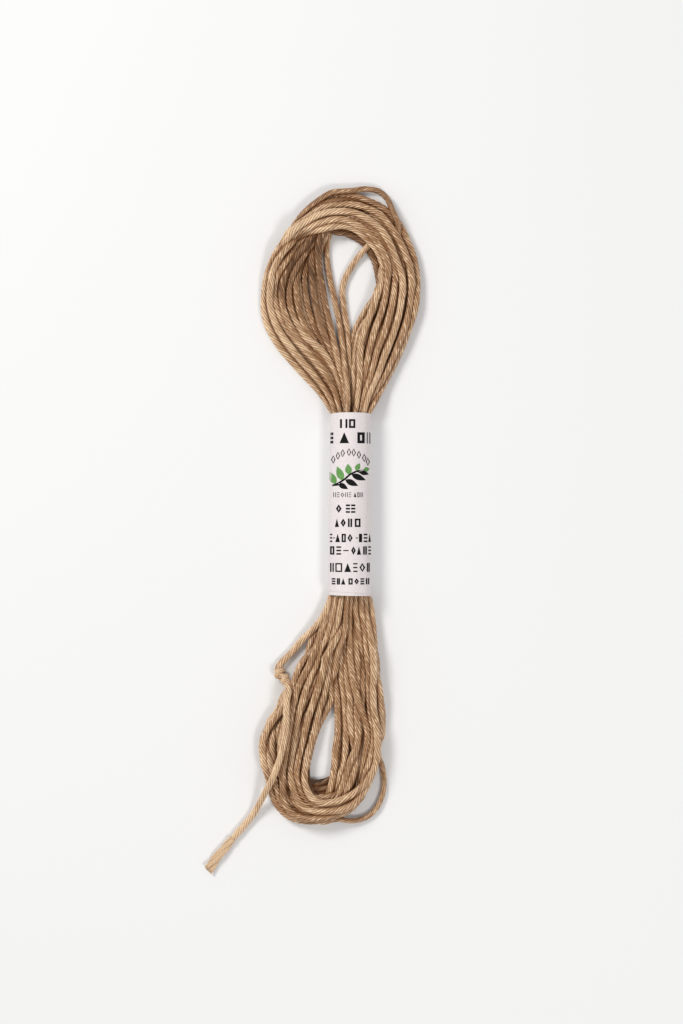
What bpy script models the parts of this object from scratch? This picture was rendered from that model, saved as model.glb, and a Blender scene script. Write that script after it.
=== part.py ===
"""A skein of silk embroidery floss, lying flat, with a paper band round its waist.

Metres, +Z up. The skein lies along Y on the plane z = 0. The origin is the middle of the
band's flat underside. +X is to the right with the upper loop away from the reader.
"""

import math
from collections import namedtuple

import bpy
import bmesh
import numpy as np

# ---------------------------------------------------------------- driving dimensions

MM = 0.001

THREAD = 1.4 * MM              # diameter of the twisted silk thread

BAND_LENGTH = 35.2 * MM        # along the skein
BAND_WIDTH = 8.3 * MM
BAND_HEIGHT = 7.2 * MM         # of the full oval, before its underside is flattened
BAND_MIDDLE = 3.3 * MM         # height of the oval's middle above the surface
BAND_WALL = 1.0 * MM
BAND_FACETS = 40

RIDGES = 7                     # groups of turns that show round one limb of a loop
FACETS_PER_RIDGE = 4
RIDGE_DEPTH = 0.055            # share of the limb's half width
RIDGE_LEAD = 90.0 * MM         # length in which a ridge winds once round its limb
RING_SPACING = 2.3 * MM

SECTION = namedtuple("SECTION", "x y low high across")
POINT = namedtuple("POINT", "x y z")

# Each limb is a row of oval sections in millimetres: the place of its middle in plan, its
# lowest and highest points, and its width across the run. A low under 0 is cut off flat.

WAIST = (
    SECTION(0.0, 21.0, 1.3, 5.6, 5.6),
    SECTION(0.0, 10.0, 1.3, 5.6, 5.6),
    SECTION(0.0, -10.0, 1.3, 5.6, 5.6),
    SECTION(0.0, -21.0, 1.3, 5.6, 5.6),
)

# Upper loop: from the band up its right side, over the top, to where the turns roll under.
UPPER_RIGHT = (
    SECTION(1.6, 18.4, 0.4, 6.6, 4.9),
    SECTION(1.7, 19.2, 0.2, 6.5, 5.4),
    SECTION(2.3, 21.0, 0.0, 6.4, 6.3),
    SECTION(3.4, 24.0, -0.4, 5.9, 7.6),
    SECTION(4.9, 29.5, -0.4, 5.2, 9.8),
    SECTION(6.5, 34.5, -0.4, 4.9, 11.2),
    SECTION(8.4, 39.0, -0.4, 4.8, 10.4),
    SECTION(9.3, 43.2, -0.4, 4.9, 8.9),
    SECTION(9.1, 47.2, -0.3, 5.2, 8.2),
    SECTION(7.6, 51.0, 0.2, 5.5, 8.0),
    SECTION(4.3, 54.2, 0.9, 5.8, 7.4),
    SECTION(0.0, 55.4, 1.4, 5.9, 6.0),
    SECTION(-4.4, 55.0, 1.7, 5.8, 5.0),
    SECTION(-8.2, 53.6, 1.8, 5.2, 4.2),
    SECTION(-10.9, 52.0, 1.2, 4.0, 3.0),
)

# Upper loop: from the band up its left side, under the roll, round the back of the top.
UPPER_LEFT = (
    SECTION(-1.6, 18.4, 0.4, 6.5, 4.9),
    SECTION(-1.8, 19.2, 0.2, 6.4, 5.4),
    SECTION(-2.9, 21.4, 0.0, 6.2, 6.6),
    SECTION(-4.9, 24.6, -0.4, 5.6, 9.2),
    SECTION(-7.0, 29.2, -0.4, 4.9, 12.6),
    SECTION(-9.2, 34.4, -0.4, 4.6, 13.6),
    SECTION(-10.7, 39.3, -0.4, 4.5, 13.0),
    SECTION(-11.2, 43.6, -0.4, 4.5, 11.6),
    SECTION(-11.0, 47.2, -0.4, 4.4, 9.8),
    SECTION(-10.0, 50.8, -0.4, 3.9, 8.4),
    SECTION(-8.3, 54.2, -0.4, 3.2, 6.8),
    SECTION(-5.2, 57.4, -0.4, 3.0, 5.0),
    SECTION(-1.0, 59.0, -0.4, 3.2, 3.8),
    SECTION(3.6, 58.2, -0.4, 3.2, 3.2),
    SECTION(7.9, 54.9, -0.4, 3.2, 3.2),
    SECTION(10.9, 50.0, -0.4, 3.2, 3.4),
    SECTION(12.3, 44.5, -0.4, 3.0, 2.6),
)

# Lower loop: from the band down its left side and round the bottom.
LOWER_LEFT = (
    SECTION(-1.5, -18.4, 0.4, 6.5, 4.8),
    SECTION(-1.6, -19.4, 0.2, 6.4, 5.0),
    SECTION(-2.4, -22.6, 0.0, 6.2, 6.0),
    SECTION(-4.2, -28.2, -0.4, 5.6, 6.8),
    SECTION(-6.4, -33.6, -0.4, 5.0, 7.4),
    SECTION(-8.9, -38.6, -0.4, 4.7, 8.2),
    SECTION(-11.5, -43.6, -0.4, 4.6, 10.6),
    SECTION(-12.4, -48.4, -0.4, 4.6, 9.8),
    SECTION(-11.9, -53.2, -0.4, 4.7, 8.0),
    SECTION(-9.6, -56.8, -0.4, 4.9, 7.8),
    SECTION(-5.9, -57.8, -0.4, 5.0, 7.6),
    SECTION(-2.6, -56.6, -0.4, 4.8, 7.2),
    SECTION(-0.2, -54.0, -0.4, 4.4, 6.4),
)

# Lower loop: from the band down its right side, into the turn at the bottom.
LOWER_RIGHT = (
    SECTION(1.5, -18.4, 0.4, 6.5, 5.0),
    SECTION(1.5, -19.4, 0.2, 6.5, 5.2),
    SECTION(1.3, -24.0, 0.0, 6.2, 6.4),
    SECTION(1.3, -30.6, -0.4, 5.6, 7.8),
    SECTION(1.6, -37.0, -0.4, 5.2, 9.4),
    SECTION(1.4, -42.6, -0.4, 4.9, 9.2),
    SECTION(1.1, -48.4, -0.4, 4.9, 8.6),
    SECTION(0.3, -53.0, -0.4, 5.0, 7.8),
    SECTION(-1.6, -56.4, -0.4, 4.9, 7.0),
)

# Single turns that stand clear of the loops, as routes in millimetres.
TOP_STRAY = (
    POINT(-3.0, 59.2, 1.7),
    POINT(0.4, 60.3, 1.5),
    POINT(3.2, 60.9, 1.3),
    POINT(6.0, 59.9, 1.1),
    POINT(7.7, 57.6, 1.2),
    POINT(8.9, 54.6, 1.6),
    POINT(9.7, 51.8, 1.8),
)
LEFT_STRAY = (
    POINT(-4.7, 54.6, 3.4),
    POINT(-4.7, 52.0, 2.5),
    POINT(-4.4, 49.0, 1.8),
    POINT(-3.6, 43.6, 1.5),
    POINT(-2.5, 38.4, 1.5),
    POINT(-1.7, 33.6, 1.9),
    POINT(-1.4, 28.6, 2.4),
)
RIGHT_STRAY = (
    POINT(5.2, 52.2, 2.2),
    POINT(2.6, 48.9, 1.6),
    POINT(0.3, 46.2, 1.3),
    POINT(-1.3, 42.4, 1.3),
    POINT(-1.4, 38.2, 1.5),
    POINT(-0.7, 33.6, 1.9),
    POINT(0.2, 28.6, 2.4),
)
LOWER_STRAY = (
    POINT(4.0, -46.0, 1.6),
    POINT(5.6, -48.2, 1.3),
    POINT(6.5, -51.2, 1.0),
    POINT(6.4, -55.0, 0.9),
    POINT(5.2, -58.4, 0.9),
    POINT(2.6, -60.7, 0.9),
    POINT(-0.4, -60.9, 1.1),
    POINT(-3.4, -59.6, 1.6),
)

# The free end, from the mouth of the band to its tip, as a route in millimetres.
LOOSE_END = (
    POINT(-5.2, -18.7, 3.4),
    POINT(-5.8, -20.5, 2.9),
    POINT(-6.5, -22.4, 2.3),
    POINT(-7.6, -24.2, 1.6),
    POINT(-9.4, -26.2, 1.0),
    POINT(-11.2, -28.4, 0.75),
    POINT(-12.6, -30.0, 0.75),
    POINT(-13.6, -31.6, 0.9),
    POINT(-13.6, -33.4, 1.7),
    POINT(-13.1, -34.9, 2.9),
    POINT(-12.8, -36.8, 4.5),
    POINT(-12.3, -39.4, 5.3),
    POINT(-12.3, -42.0, 5.5),
    POINT(-12.6, -44.8, 5.6),
    POINT(-13.2, -47.5, 5.6),
    POINT(-14.0, -50.0, 5.5),
    POINT(-14.9, -52.4, 5.15),
    POINT(-16.0, -54.6, 3.8),
    POINT(-17.2, -57.0, 2.2),
    POINT(-18.5, -59.4, 1.1),
    POINT(-20.2, -61.6, 0.75),
    POINT(-22.2, -63.9, 0.75),
    POINT(-24.2, -66.3, 0.75),
    POINT(-26.2, -68.7, 0.75),
    POINT(-27.3, -70.1, 0.75),
)

# ---------------------------------------------------------------- collections, materials


def clear_scene():
    for old in list(bpy.data.objects):
        bpy.data.objects.remove(old, do_unlink=True)


def new_collection(name):
    group = bpy.data.collections.new(name)
    bpy.context.scene.collection.children.link(group)
    return group


def new_material(name, colour, roughness):
    material = bpy.data.materials.new(name)
    material.use_nodes = True
    shader = material.node_tree.nodes["Principled BSDF"]
    shader.inputs["Base Color"].default_value = (*colour, 1.0)
    shader.inputs["Roughness"].default_value = roughness
    shader.inputs["Metallic"].default_value = 0.0
    material.diffuse_color = (*colour, 1.0)
    return material


def add_object(name, mesh, group):
    piece = bpy.data.objects.new(name, mesh)
    group.objects.link(piece)
    return piece


# ---------------------------------------------------------------- shapes


def smooth_run(rows, spacing):
    """Points of a smooth curve through the rows, about one spacing apart, all columns alike."""
    knots = np.array(rows, dtype=float) * MM
    before = np.vstack([2 * knots[0] - knots[1], knots[:-1]])
    after = np.vstack([knots[1:], 2 * knots[-1] - knots[-2]])
    slopes = (after - before) / 2
    points = []
    for first in range(len(knots) - 1):
        start, end = knots[first], knots[first + 1]
        steps = max(1, round(np.linalg.norm((end - start)[:2]) / spacing))
        for t in np.arange(steps) / steps:
            points.append(
                (2 * t**3 - 3 * t**2 + 1) * start + (t**3 - 2 * t**2 + t) * slopes[first]
                + (3 * t**2 - 2 * t**3) * end + (t**3 - t**2) * slopes[first + 1]
            )
    points.append(knots[-1])
    return np.array(points)


def limb(name, rows, group, ridged=True):
    """A closed solid through oval sections, with the ridges of its groups of turns winding round it."""
    run = smooth_run(rows, RING_SPACING)
    facets = RIDGES * FACETS_PER_RIDGE
    mesh = bmesh.new()
    rings = []
    travelled = 0.0
    for number, (x, y, low, high, across) in enumerate(run):
        ahead = run[min(number + 1, len(run) - 1)][:2]
        behind = run[max(number - 1, 0)][:2]
        run_x, run_y = (ahead - behind) / np.linalg.norm(ahead - behind)
        if number:
            travelled += np.linalg.norm(run[number][:2] - run[number - 1][:2])
        winding = 2 * math.pi * travelled / RIDGE_LEAD
        ring = []
        for facet in range(facets):
            angle = 2 * math.pi * facet / facets + winding
            swell = 1 + (RIDGE_DEPTH * math.cos(RIDGES * (angle - winding)) if ridged else 0)
            side = across / 2 * math.cos(angle) * swell
            rise = (high - low) / 2 * math.sin(angle) * swell
            ring.append(mesh.verts.new((x + run_y * side, y - run_x * side, (low + high) / 2 + rise)))
        rings.append(ring)
    for ring, following in zip(rings, rings[1:]):
        for facet in range(facets):
            beside = (facet + 1) % facets
            mesh.faces.new((ring[facet], ring[beside], following[beside], following[facet]))
    mesh.faces.new(reversed(rings[0]))
    mesh.faces.new(rings[-1])
    bmesh.ops.recalc_face_normals(mesh, faces=mesh.faces)
    bmesh.ops.triangulate(mesh, faces=mesh.faces)
    data = bpy.data.meshes.new(name)
    mesh.to_mesh(data)
    mesh.free()
    return add_object(name, data, group)


def thread_curve(name, route, group):
    """A length of thread as a curve through its route, with closed ends."""
    run = smooth_run(route, 2.5 * THREAD)
    curve = bpy.data.curves.new(name, "CURVE")
    curve.dimensions = "3D"
    curve.bevel_depth = THREAD / 2
    curve.bevel_resolution = 2
    curve.use_fill_caps = True
    spline = curve.splines.new("POLY")
    spline.points.add(len(run) - 1)
    for point, place in zip(spline.points, run):
        point.co = (*place, 1.0)
    return add_object(name, curve, group)


def as_mesh(curve_object, group):
    """The curve's tube as a welded mesh object of the same name."""
    name = curve_object.name
    graph = bpy.context.evaluated_depsgraph_get()
    data = bpy.data.meshes.new_from_object(curve_object.evaluated_get(graph))
    place = curve_object.matrix_world.copy()
    bpy.data.objects.remove(curve_object, do_unlink=True)
    mesh = bmesh.new()
    mesh.from_mesh(data)
    bmesh.ops.remove_doubles(mesh, verts=mesh.verts, dist=0.01 * MM)
    bmesh.ops.recalc_face_normals(mesh, faces=mesh.faces)
    bmesh.ops.triangulate(mesh, faces=mesh.faces)
    mesh.to_mesh(data)
    mesh.free()
    piece = add_object(name, data, group)
    piece.matrix_world = place
    return piece


def combine(piece, other, operation):
    """One Boolean step on a piece; the other solid stays in the scene as a guide."""
    step = piece.modifiers.new(other.name, "BOOLEAN")
    step.operation = operation
    step.solver = "EXACT"
    step.object = other
    other.hide_render = True
    other.display_type = "WIRE"


# ---------------------------------------------------------------- the pieces


def build_skein(group, guides, material):
    """The wound floss: its limbs and stray turns joined, and flat where it lies."""
    skein = limb("floss_skein", LOWER_LEFT, group)
    skein.data.materials.append(material)
    joined = [
        limb("waist", WAIST, guides, ridged=False),
        limb("lower_right_limb", LOWER_RIGHT, guides),
        limb("upper_left_limb", UPPER_LEFT, guides),
        limb("upper_right_limb", UPPER_RIGHT, guides),
    ]
    strays = (
        ("top_stray_turn", TOP_STRAY),
        ("left_stray_turn", LEFT_STRAY),
        ("right_stray_turn", RIGHT_STRAY),
        ("lower_stray_turn", LOWER_STRAY),
    )
    for name, route in strays:
        joined.append(as_mesh(thread_curve(name, route, guides), guides))
    for other in joined:
        combine(skein, other, "UNION")
    depth = 10 * MM
    bpy.ops.mesh.primitive_cube_add(size=1.0, location=(0.0, 0.0, -depth / 2))
    surface = bpy.context.object
    surface.name = "resting_surface"
    surface.scale = (200 * MM, 200 * MM, depth)
    bpy.ops.object.transform_apply(location=False, rotation=False, scale=True)
    for linked in list(surface.users_collection):
        linked.objects.unlink(surface)
    guides.objects.link(surface)
    combine(skein, surface, "DIFFERENCE")
    return skein


def build_band(group, material):
    """The paper sleeve: an oval tube, flat underneath, with its wall turned inwards."""
    mesh = bmesh.new()
    ends = []
    for y in (-BAND_LENGTH / 2, BAND_LENGTH / 2):
        ring = []
        for facet in range(BAND_FACETS):
            angle = 2 * math.pi * facet / BAND_FACETS
            x = BAND_WIDTH / 2 * math.cos(angle)
            z = max(0.0, BAND_MIDDLE + BAND_HEIGHT / 2 * math.sin(angle))
            ring.append(mesh.verts.new((x, y, z)))
        ends.append(ring)
    for facet in range(BAND_FACETS):
        beside = (facet + 1) % BAND_FACETS
        mesh.faces.new((ends[0][facet], ends[1][facet], ends[1][beside], ends[0][beside]))
    data = bpy.data.meshes.new("paper_band")
    mesh.to_mesh(data)
    mesh.free()
    band = add_object("paper_band", data, group)
    wall = band.modifiers.new("wall", "SOLIDIFY")
    wall.thickness = BAND_WALL
    wall.offset = -1.0
    wall.use_even_offset = True
    band.data.materials.append(material)
    return band


def build_loose_end(group, material):
    """The free end of the thread, a plain round tube along its route."""
    end = thread_curve("loose_end", LOOSE_END, group)
    end.data.materials.append(material)
    return end


def build():
    clear_scene()
    group = new_collection("embroidery_floss_skein")
    guides = new_collection("guides")
    silk = new_material("tan_silk", (0.376, 0.216, 0.114), 0.5)
    paper = new_material("white_paper", (0.80, 0.74, 0.74), 0.6)
    build_skein(group, guides, silk)
    build_band(group, paper)
    build_loose_end(group, silk)


build()
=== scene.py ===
import math

import bpy
import numpy as np
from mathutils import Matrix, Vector, kdtree


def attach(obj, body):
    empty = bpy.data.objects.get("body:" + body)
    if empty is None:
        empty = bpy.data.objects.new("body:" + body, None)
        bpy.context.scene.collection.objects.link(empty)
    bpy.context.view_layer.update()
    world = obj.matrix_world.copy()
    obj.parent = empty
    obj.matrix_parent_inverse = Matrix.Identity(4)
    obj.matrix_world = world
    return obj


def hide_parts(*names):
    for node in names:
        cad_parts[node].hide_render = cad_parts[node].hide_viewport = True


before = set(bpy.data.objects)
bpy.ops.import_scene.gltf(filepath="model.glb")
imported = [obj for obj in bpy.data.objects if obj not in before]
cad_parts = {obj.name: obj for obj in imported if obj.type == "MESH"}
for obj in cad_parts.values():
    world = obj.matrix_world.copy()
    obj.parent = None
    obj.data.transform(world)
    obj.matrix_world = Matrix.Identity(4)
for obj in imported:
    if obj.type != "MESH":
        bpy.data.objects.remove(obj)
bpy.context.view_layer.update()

# ---- Camera ------------------------------------------------------------------------------
# The skein lies flat and is looked at from straight above, with the upper loop away from
# the reader. A long lens keeps the picture free of perspective.

view_middle = (-0.00173, -0.00144)
view_height = 0.550
camera_data = bpy.data.cameras.new("camera")
camera_data.lens = 100.0
camera_data.sensor_width = 36.0
camera_data.clip_start = 0.01
camera_data.clip_end = 5.0
camera = bpy.data.objects.new("camera", camera_data)
camera.location = (*view_middle, view_height)
bpy.context.scene.collection.objects.link(camera)
bpy.context.scene.camera = camera

# ---- Tail --------------------------------------------------------------------------------
# The free end of the floss: seven soft silk plies laid together with an S twist. It comes
# out of the band's lower left corner and curls over on the table, where two loosened plies
# have wound round it. It climbs along the lower loop and ends in a cut, frayed tip.

thread_width = 0.0014
plies = 7
twist_length = 0.0070
ply_relief = 0.34
swell_length = 0.014
glint_length = 0.0042
drift_length = 0.03
map_width = 0.44
tail_number = 99
hoops = ((0.0189, 1.1, 0.00050), (0.0209, 0.95, 0.00044))
hoop_length = 0.0019
hoop_reach = 0.00092


def rise(value, start, end):
    """0 up to the start, 1 from the end on, and a straight rise between them."""
    return np.clip((value - start) / (end - start), 0, 1)


def distance_along(line):
    """How far each point of a line lies from its start."""
    return np.r_[0, np.cumsum(np.linalg.norm(np.diff(line, axis=0), axis=1))]


def even_line(points, step):
    """A smooth line through the points, with a point at every step along it."""
    knots = np.array(points, float)
    pad = np.vstack([2 * knots[0] - knots[1], knots, 2 * knots[-1] - knots[-2]])
    a, b, c, d = pad[:-3], pad[1:-2], pad[2:-1], pad[3:]
    t = (np.arange(10) / 10)[:, None, None]
    run = b + 0.5 * t * (c - a + t * (2 * a - 5 * b + 4 * c - d + t * (3 * (b - c) + d - a)))
    run = np.vstack([run.transpose(1, 0, 2).reshape(-1, knots.shape[1]), knots[-1:]])
    far = distance_along(run[:, :3])
    count = max(3, int(round(far[-1] / step)) + 1)
    at = np.linspace(0, far[-1], count)
    return np.stack([np.interp(at, far, column) for column in run.T], 1)


def square_to(line):
    """The directions at right angles to a line at each of its points: sideways, then up."""
    ahead = np.gradient(line, axis=0)
    ahead /= np.linalg.norm(ahead, axis=1)[:, None]
    up = np.array([0.0, 0.0, 1.0]) - ahead[:, 2:3] * ahead
    up /= np.linalg.norm(up, axis=1)[:, None]
    return np.cross(ahead, up), up


def slow_wave(rng, far, length, rows=1):
    """Gentle unevenness along a thread, from -1 to 1, one row for each ply."""
    wave = np.zeros((rows, len(far)))
    for share in (1.0, 0.43, 0.19):
        start = rng.uniform(0, 2 * math.pi, (rows, 1))
        pitch = length * share * rng.uniform(0.8, 1.25, (rows, 1))
        wave += math.sqrt(share) * np.sin(2 * math.pi * far[None] / pitch + start)
    return wave / 2


def shut_in(line, out, crowd, owner):
    """How far each side of a thread is shut in by the other threads of the pile, for painted shade.
    """
    reach, fade, strength = 2.3, 1.55, 1.25
    tree, places, owners = crowd
    shut = np.zeros(out.shape[:2])
    for ring, middle in enumerate(line * 1000):
        near = [hit[1] for hit in tree.find_range(middle, reach)]
        near = [index for index in near if owners[index] != owner]
        if near:
            gap = places[near] - middle
            apart = np.maximum(np.linalg.norm(gap, axis=1), 0.001)[:, None]
            facing = np.clip(gap / apart @ out[ring].T, 0, 1) ** 2
            shut[ring] = (facing * np.exp(-((apart / fade) ** 2))).sum(0)
    return np.clip(shut * strength, 0, 1)


def tube_faces(rings, sides, first):
    """A tube's wall and its two end fans, which close on the two corners after its rings."""
    i, k = np.meshgrid(np.arange(rings - 1), np.arange(sides), indexing="ij")
    a = first + i * sides + k
    b = first + i * sides + (k + 1) % sides
    wall = np.stack([a, b, b + sides, a + sides], -1).reshape(-1, 4).tolist()
    start = first + np.arange(sides)
    end = start + (rings - 1) * sides
    middle = first + rings * sides
    foot = np.stack([np.roll(start, -1), start, np.full(sides, middle)], 1).tolist()
    tip = np.stack([end, np.roll(end, -1), np.full(sides, middle + 1)], 1).tolist()
    return wall + foot + tip


def map_thread(mesh, across, along):
    """The map that the fibres follow. A face over its seam goes on past it, and not back."""
    lie = mesh.uv_layers.new(name="thread")
    corner = np.zeros(len(mesh.loops), np.int32)
    mesh.loops.foreach_get("vertex_index", corner)
    u = across[corner]
    v = along[corner]
    size = np.zeros(len(mesh.polygons), np.int32)
    mesh.polygons.foreach_get("loop_total", size)
    lead = np.zeros(len(mesh.polygons), np.int32)
    mesh.polygons.foreach_get("loop_start", lead)
    for offset in range(4):
        first = lead[size > offset]
        here = first + offset
        u[here] += np.where(u[first] - u[here] > 0.3, map_width, 0.0)
    lie.data.foreach_set("uv", np.stack([u, v], 1).ravel().astype(np.float32))


def spin_threads(name, runs, facets, seed, crowd=None):
    """One mesh of twisted threads. A run is its line, its radius, its tone and its number."""
    rng = np.random.default_rng(seed)
    sides = plies * facets
    around = 2 * math.pi * np.arange(sides) / sides
    lobe = np.sqrt(np.abs(np.cos(plies * around / 2)))
    ply = (np.round(around / (2 * math.pi) * plies).astype(int)) % plies
    corners, faces, tones, groove_shade_values, pile_shade_values, across, along = [], [], [], [], [], [], []
    count = 0
    for number, (line, radius, tone, owner) in enumerate(runs):
        rings = len(line)
        far = distance_along(line)
        side, up = square_to(line)
        lay = rng.uniform(0, 6.28) - 2 * math.pi * far / (twist_length * rng.uniform(0.93, 1.07))
        lay = lay + 0.5 * slow_wave(rng, far, drift_length)[0]
        swell = slow_wave(rng, far, swell_length, plies)[ply].T
        deep = ply_relief * (1 + 0.35 * swell)
        shape = 1 - deep + deep * lobe[None] + 0.035 * swell
        angle = around[None] + lay[:, None]
        out = np.cos(angle)[..., None] * up[:, None] + np.sin(angle)[..., None] * side[:, None]
        ring = line[:, None] + (radius[:, None] * shape)[..., None] * out
        ring[..., 2] = np.maximum(ring[..., 2], 0.00001)
        corners += [ring.reshape(-1, 3), line[:1], line[-1:]]
        faces += tube_faces(rings, sides, count)
        count += rings * sides + 2
        # How shut in each side is, kept to paint shade where the pile closes round a thread.
        pile_shade_here = shut_in(line, out, crowd, owner) if crowd else np.zeros((rings, sides))
        pile_shade_values += [pile_shade_here.ravel(), [0.5, 0.5]]
        # Each side's place in a groove, kept to paint shade between the plies.
        groove_shade_values += [np.broadcast_to(1 - lobe, (rings, sides)).ravel(), [0.5, 0.5]]
        # Each ply's own tone, lightened on its crown as a painted highlight, with painted glints.
        ply_tone_and_highlight = rng.normal(0, 0.08, plies)[ply][None] + 0.09 * swell + 0.26 * (lobe - 0.7)
        glint = slow_wave(rng, far, glint_length, plies)[ply].T
        ply_tone_and_highlight = ply_tone_and_highlight + 0.80 * np.clip(glint - 0.30, 0, 1) * lobe ** 2
        drift = 0.06 * slow_wave(rng, far, drift_length)[0][:, None]
        tones += [(tone[:, None] + ply_tone_and_highlight + drift).ravel(), [tone[0], tone[-1]]]
        width = map_width * np.arange(sides) / sides + 0.7 * number
        across += [np.broadcast_to(width, (rings, sides)).ravel(), [width[0], width[0]]]
        along += [np.repeat(far * 100 + 3.1 * number, sides), [0.0, 0.0]]
    mesh = bpy.data.meshes.new(name)
    mesh.from_pydata(np.vstack(corners).tolist(), [], faces)
    for label, values in (("tone", tones), ("groove_shade", groove_shade_values), ("pile_shade", pile_shade_values)):
        layer = mesh.attributes.new(label, "FLOAT", "POINT")
        layer.data.foreach_set("value", np.concatenate(values).astype(np.float32))
    map_thread(mesh, np.concatenate(across), np.concatenate(along))
    mesh.polygons.foreach_set("use_smooth", np.ones(len(mesh.polygons), bool))
    mesh.update()
    made = bpy.data.objects.new(name, mesh)
    bpy.context.scene.collection.objects.link(made)
    return made


def new_finish(name):
    """A new material, with its node tree and its shader."""
    finish = bpy.data.materials.new(name)
    finish.use_nodes = True
    return finish, finish.node_tree, finish.node_tree.nodes["Principled BSDF"]


def kept_value(tree, name):
    """A value that the thread's mesh keeps at each of its corners."""
    node = tree.nodes.new("ShaderNodeAttribute")
    node.attribute_name = name
    return node.outputs["Fac"]


def mottle(tree, place, scale, detail):
    """Fine uneven cloud, such as fibres or pulp, over the given place."""
    cloud = tree.nodes.new("ShaderNodeTexNoise")
    cloud.inputs["Scale"].default_value = scale
    cloud.inputs["Detail"].default_value = detail
    tree.links.new(place, cloud.inputs["Vector"])
    return cloud


def remap(tree, source, old, new):
    """A value taken from its old range to a new one, and held at the ends."""
    node = tree.nodes.new("ShaderNodeMapRange")
    for label, value in zip(("From Min", "From Max", "To Min", "To Max"), old + new):
        node.inputs[label].default_value = value
    tree.links.new(source, node.inputs["Value"])
    return node.outputs["Result"]


def colour_steps(tree, source, *steps):
    """A colour that follows a value through two or more steps."""
    node = tree.nodes.new("ShaderNodeValToRGB")
    stops = node.color_ramp.elements
    for stop, (place, colour) in zip(stops, (steps[0], steps[-1])):
        stop.position = place
        stop.color = (*colour, 1)
    for place, colour in steps[1:-1]:
        stops.new(place).color = (*colour, 1)
    tree.links.new(source, node.inputs["Fac"])
    return node.outputs["Color"]


def paint_shade(tree, share, base, colour):
    """A base colour with a share of a darker one painted over it as shade."""
    mix = tree.nodes.new("ShaderNodeMix")
    mix.data_type = "RGBA"
    mix.inputs["B"].default_value = (*colour, 1)
    tree.links.new(share, mix.inputs["Factor"])
    tree.links.new(base, mix.inputs["A"])
    return mix.outputs["Result"]


def raise_surface(tree, height, strength, depth, shader):
    """Fine relief on the shader's surface."""
    relief = tree.nodes.new("ShaderNodeBump")
    relief.inputs["Strength"].default_value = strength
    relief.inputs["Distance"].default_value = depth
    tree.links.new(height, relief.inputs["Height"])
    tree.links.new(relief.outputs["Normal"], shader.inputs["Normal"])


def silk_shader():
    """Reeled silk: tan fibres along each ply, shiny, with painted highlights, and painted shade
    between plies and in the pile.
    """
    silk, tree, shader = new_finish("silk_thread")
    tone = kept_value(tree, "tone")
    lie = tree.nodes.new("ShaderNodeUVMap")
    lie.uv_map = "thread"
    stretch = tree.nodes.new("ShaderNodeMapping")
    stretch.inputs["Scale"].default_value = (60.0, 2.2, 1.0)
    tree.links.new(lie.outputs["UV"], stretch.inputs["Vector"])
    fibre = mottle(tree, stretch.outputs["Vector"], 1.6, 5.0)
    fibre.inputs["Roughness"].default_value = 0.62
    shade = tree.nodes.new("ShaderNodeMath")
    shade.operation = "MULTIPLY_ADD"
    shade.inputs[1].default_value = 0.40
    tree.links.new(fibre.outputs["Fac"], shade.inputs[0])
    tree.links.new(tone, shade.inputs[2])
    # The colour follows the tone, which carries painted highlights and painted shade.
    colour_with_painted_light = colour_steps(tree, shade.outputs[0],
                        (0.0, (0.025, 0.008, 0.002)), (0.25, (0.15, 0.062, 0.022)),
                        (0.68, (0.405, 0.208, 0.094)), (1.0, (0.80, 0.56, 0.345)))
    # Painted shade in the grooves between plies.
    groove_shade_share = remap(tree, kept_value(tree, "groove_shade"), (0.3, 1.0), (0.0, 0.8))
    colour_with_painted_light = paint_shade(tree, groove_shade_share, colour_with_painted_light, (0.15, 0.052, 0.013))
    # Painted shade where other threads of the pile shut a thread in.
    pile_shade_share = remap(tree, kept_value(tree, "pile_shade"), (0.35, 1.0), (0.0, 0.6))
    colour_with_painted_light = paint_shade(tree, pile_shade_share, colour_with_painted_light, (0.20, 0.060, 0.008))
    tree.links.new(colour_with_painted_light, shader.inputs["Base Color"])
    rough = tree.nodes.new("ShaderNodeMath")
    rough.operation = "MAXIMUM"
    gloss = remap(tree, fibre.outputs["Fac"], (0.3, 0.7), (0.24, 0.38))
    dull = remap(tree, tone, (0.0, 0.3), (0.85, 0.0))
    tree.links.new(gloss, rough.inputs[0])
    tree.links.new(dull, rough.inputs[1])
    tree.links.new(rough.outputs[0], shader.inputs["Roughness"])
    raise_surface(tree, fibre.outputs["Fac"], 0.55, 0.00012, shader)
    shader.inputs["IOR"].default_value = 1.55
    shader.inputs["Specular IOR Level"].default_value = 1.0
    shader.inputs["Specular Tint"].default_value = (1.0, 0.86, 0.69, 1)
    return silk


silk_thread = silk_shader()

tail_route = (
    (-3.3, -16.4, 2.0), (-3.9, -18.4, 2.1), (-4.7, -20.4, 2.2), (-5.8, -22.4, 2.0),
    (-7.4, -24.3, 1.5),
    (-9.4, -26.2, 1.0), (-11.2, -28.4, 0.75), (-12.7, -29.9, 0.75), (-13.7, -31.1, 0.85),
    (-13.9, -32.3, 1.2), (-13.1, -33.4, 2.0), (-12.2, -34.4, 3.0), (-12.0, -35.9, 4.1),
    (-12.2, -37.6, 4.9), (-12.3, -39.4, 5.3),
    (-12.3, -42.0, 5.5), (-12.6, -44.8, 5.6), (-13.2, -47.5, 5.6), (-14.0, -50.0, 5.5),
    (-14.9, -52.4, 5.15), (-16.0, -54.6, 3.8), (-17.2, -57.0, 2.2), (-18.5, -59.4, 1.1),
    (-20.2, -61.6, 0.75), (-22.2, -63.9, 0.75), (-24.2, -66.3, 0.75), (-26.2, -68.7, 0.75),
    (-27.9, -71.0, 0.75),
)
tail_line = even_line(np.array(tail_route) * 0.001, 0.0004)
tail_far = distance_along(tail_line)
tail_side, tail_up = square_to(tail_line)
cut = tail_far[-1]
opened = np.exp(-((tail_far - 0.0207) / 0.0026) ** 2)
worn = rise(tail_far, cut - 0.013, cut - 0.005)
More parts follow.
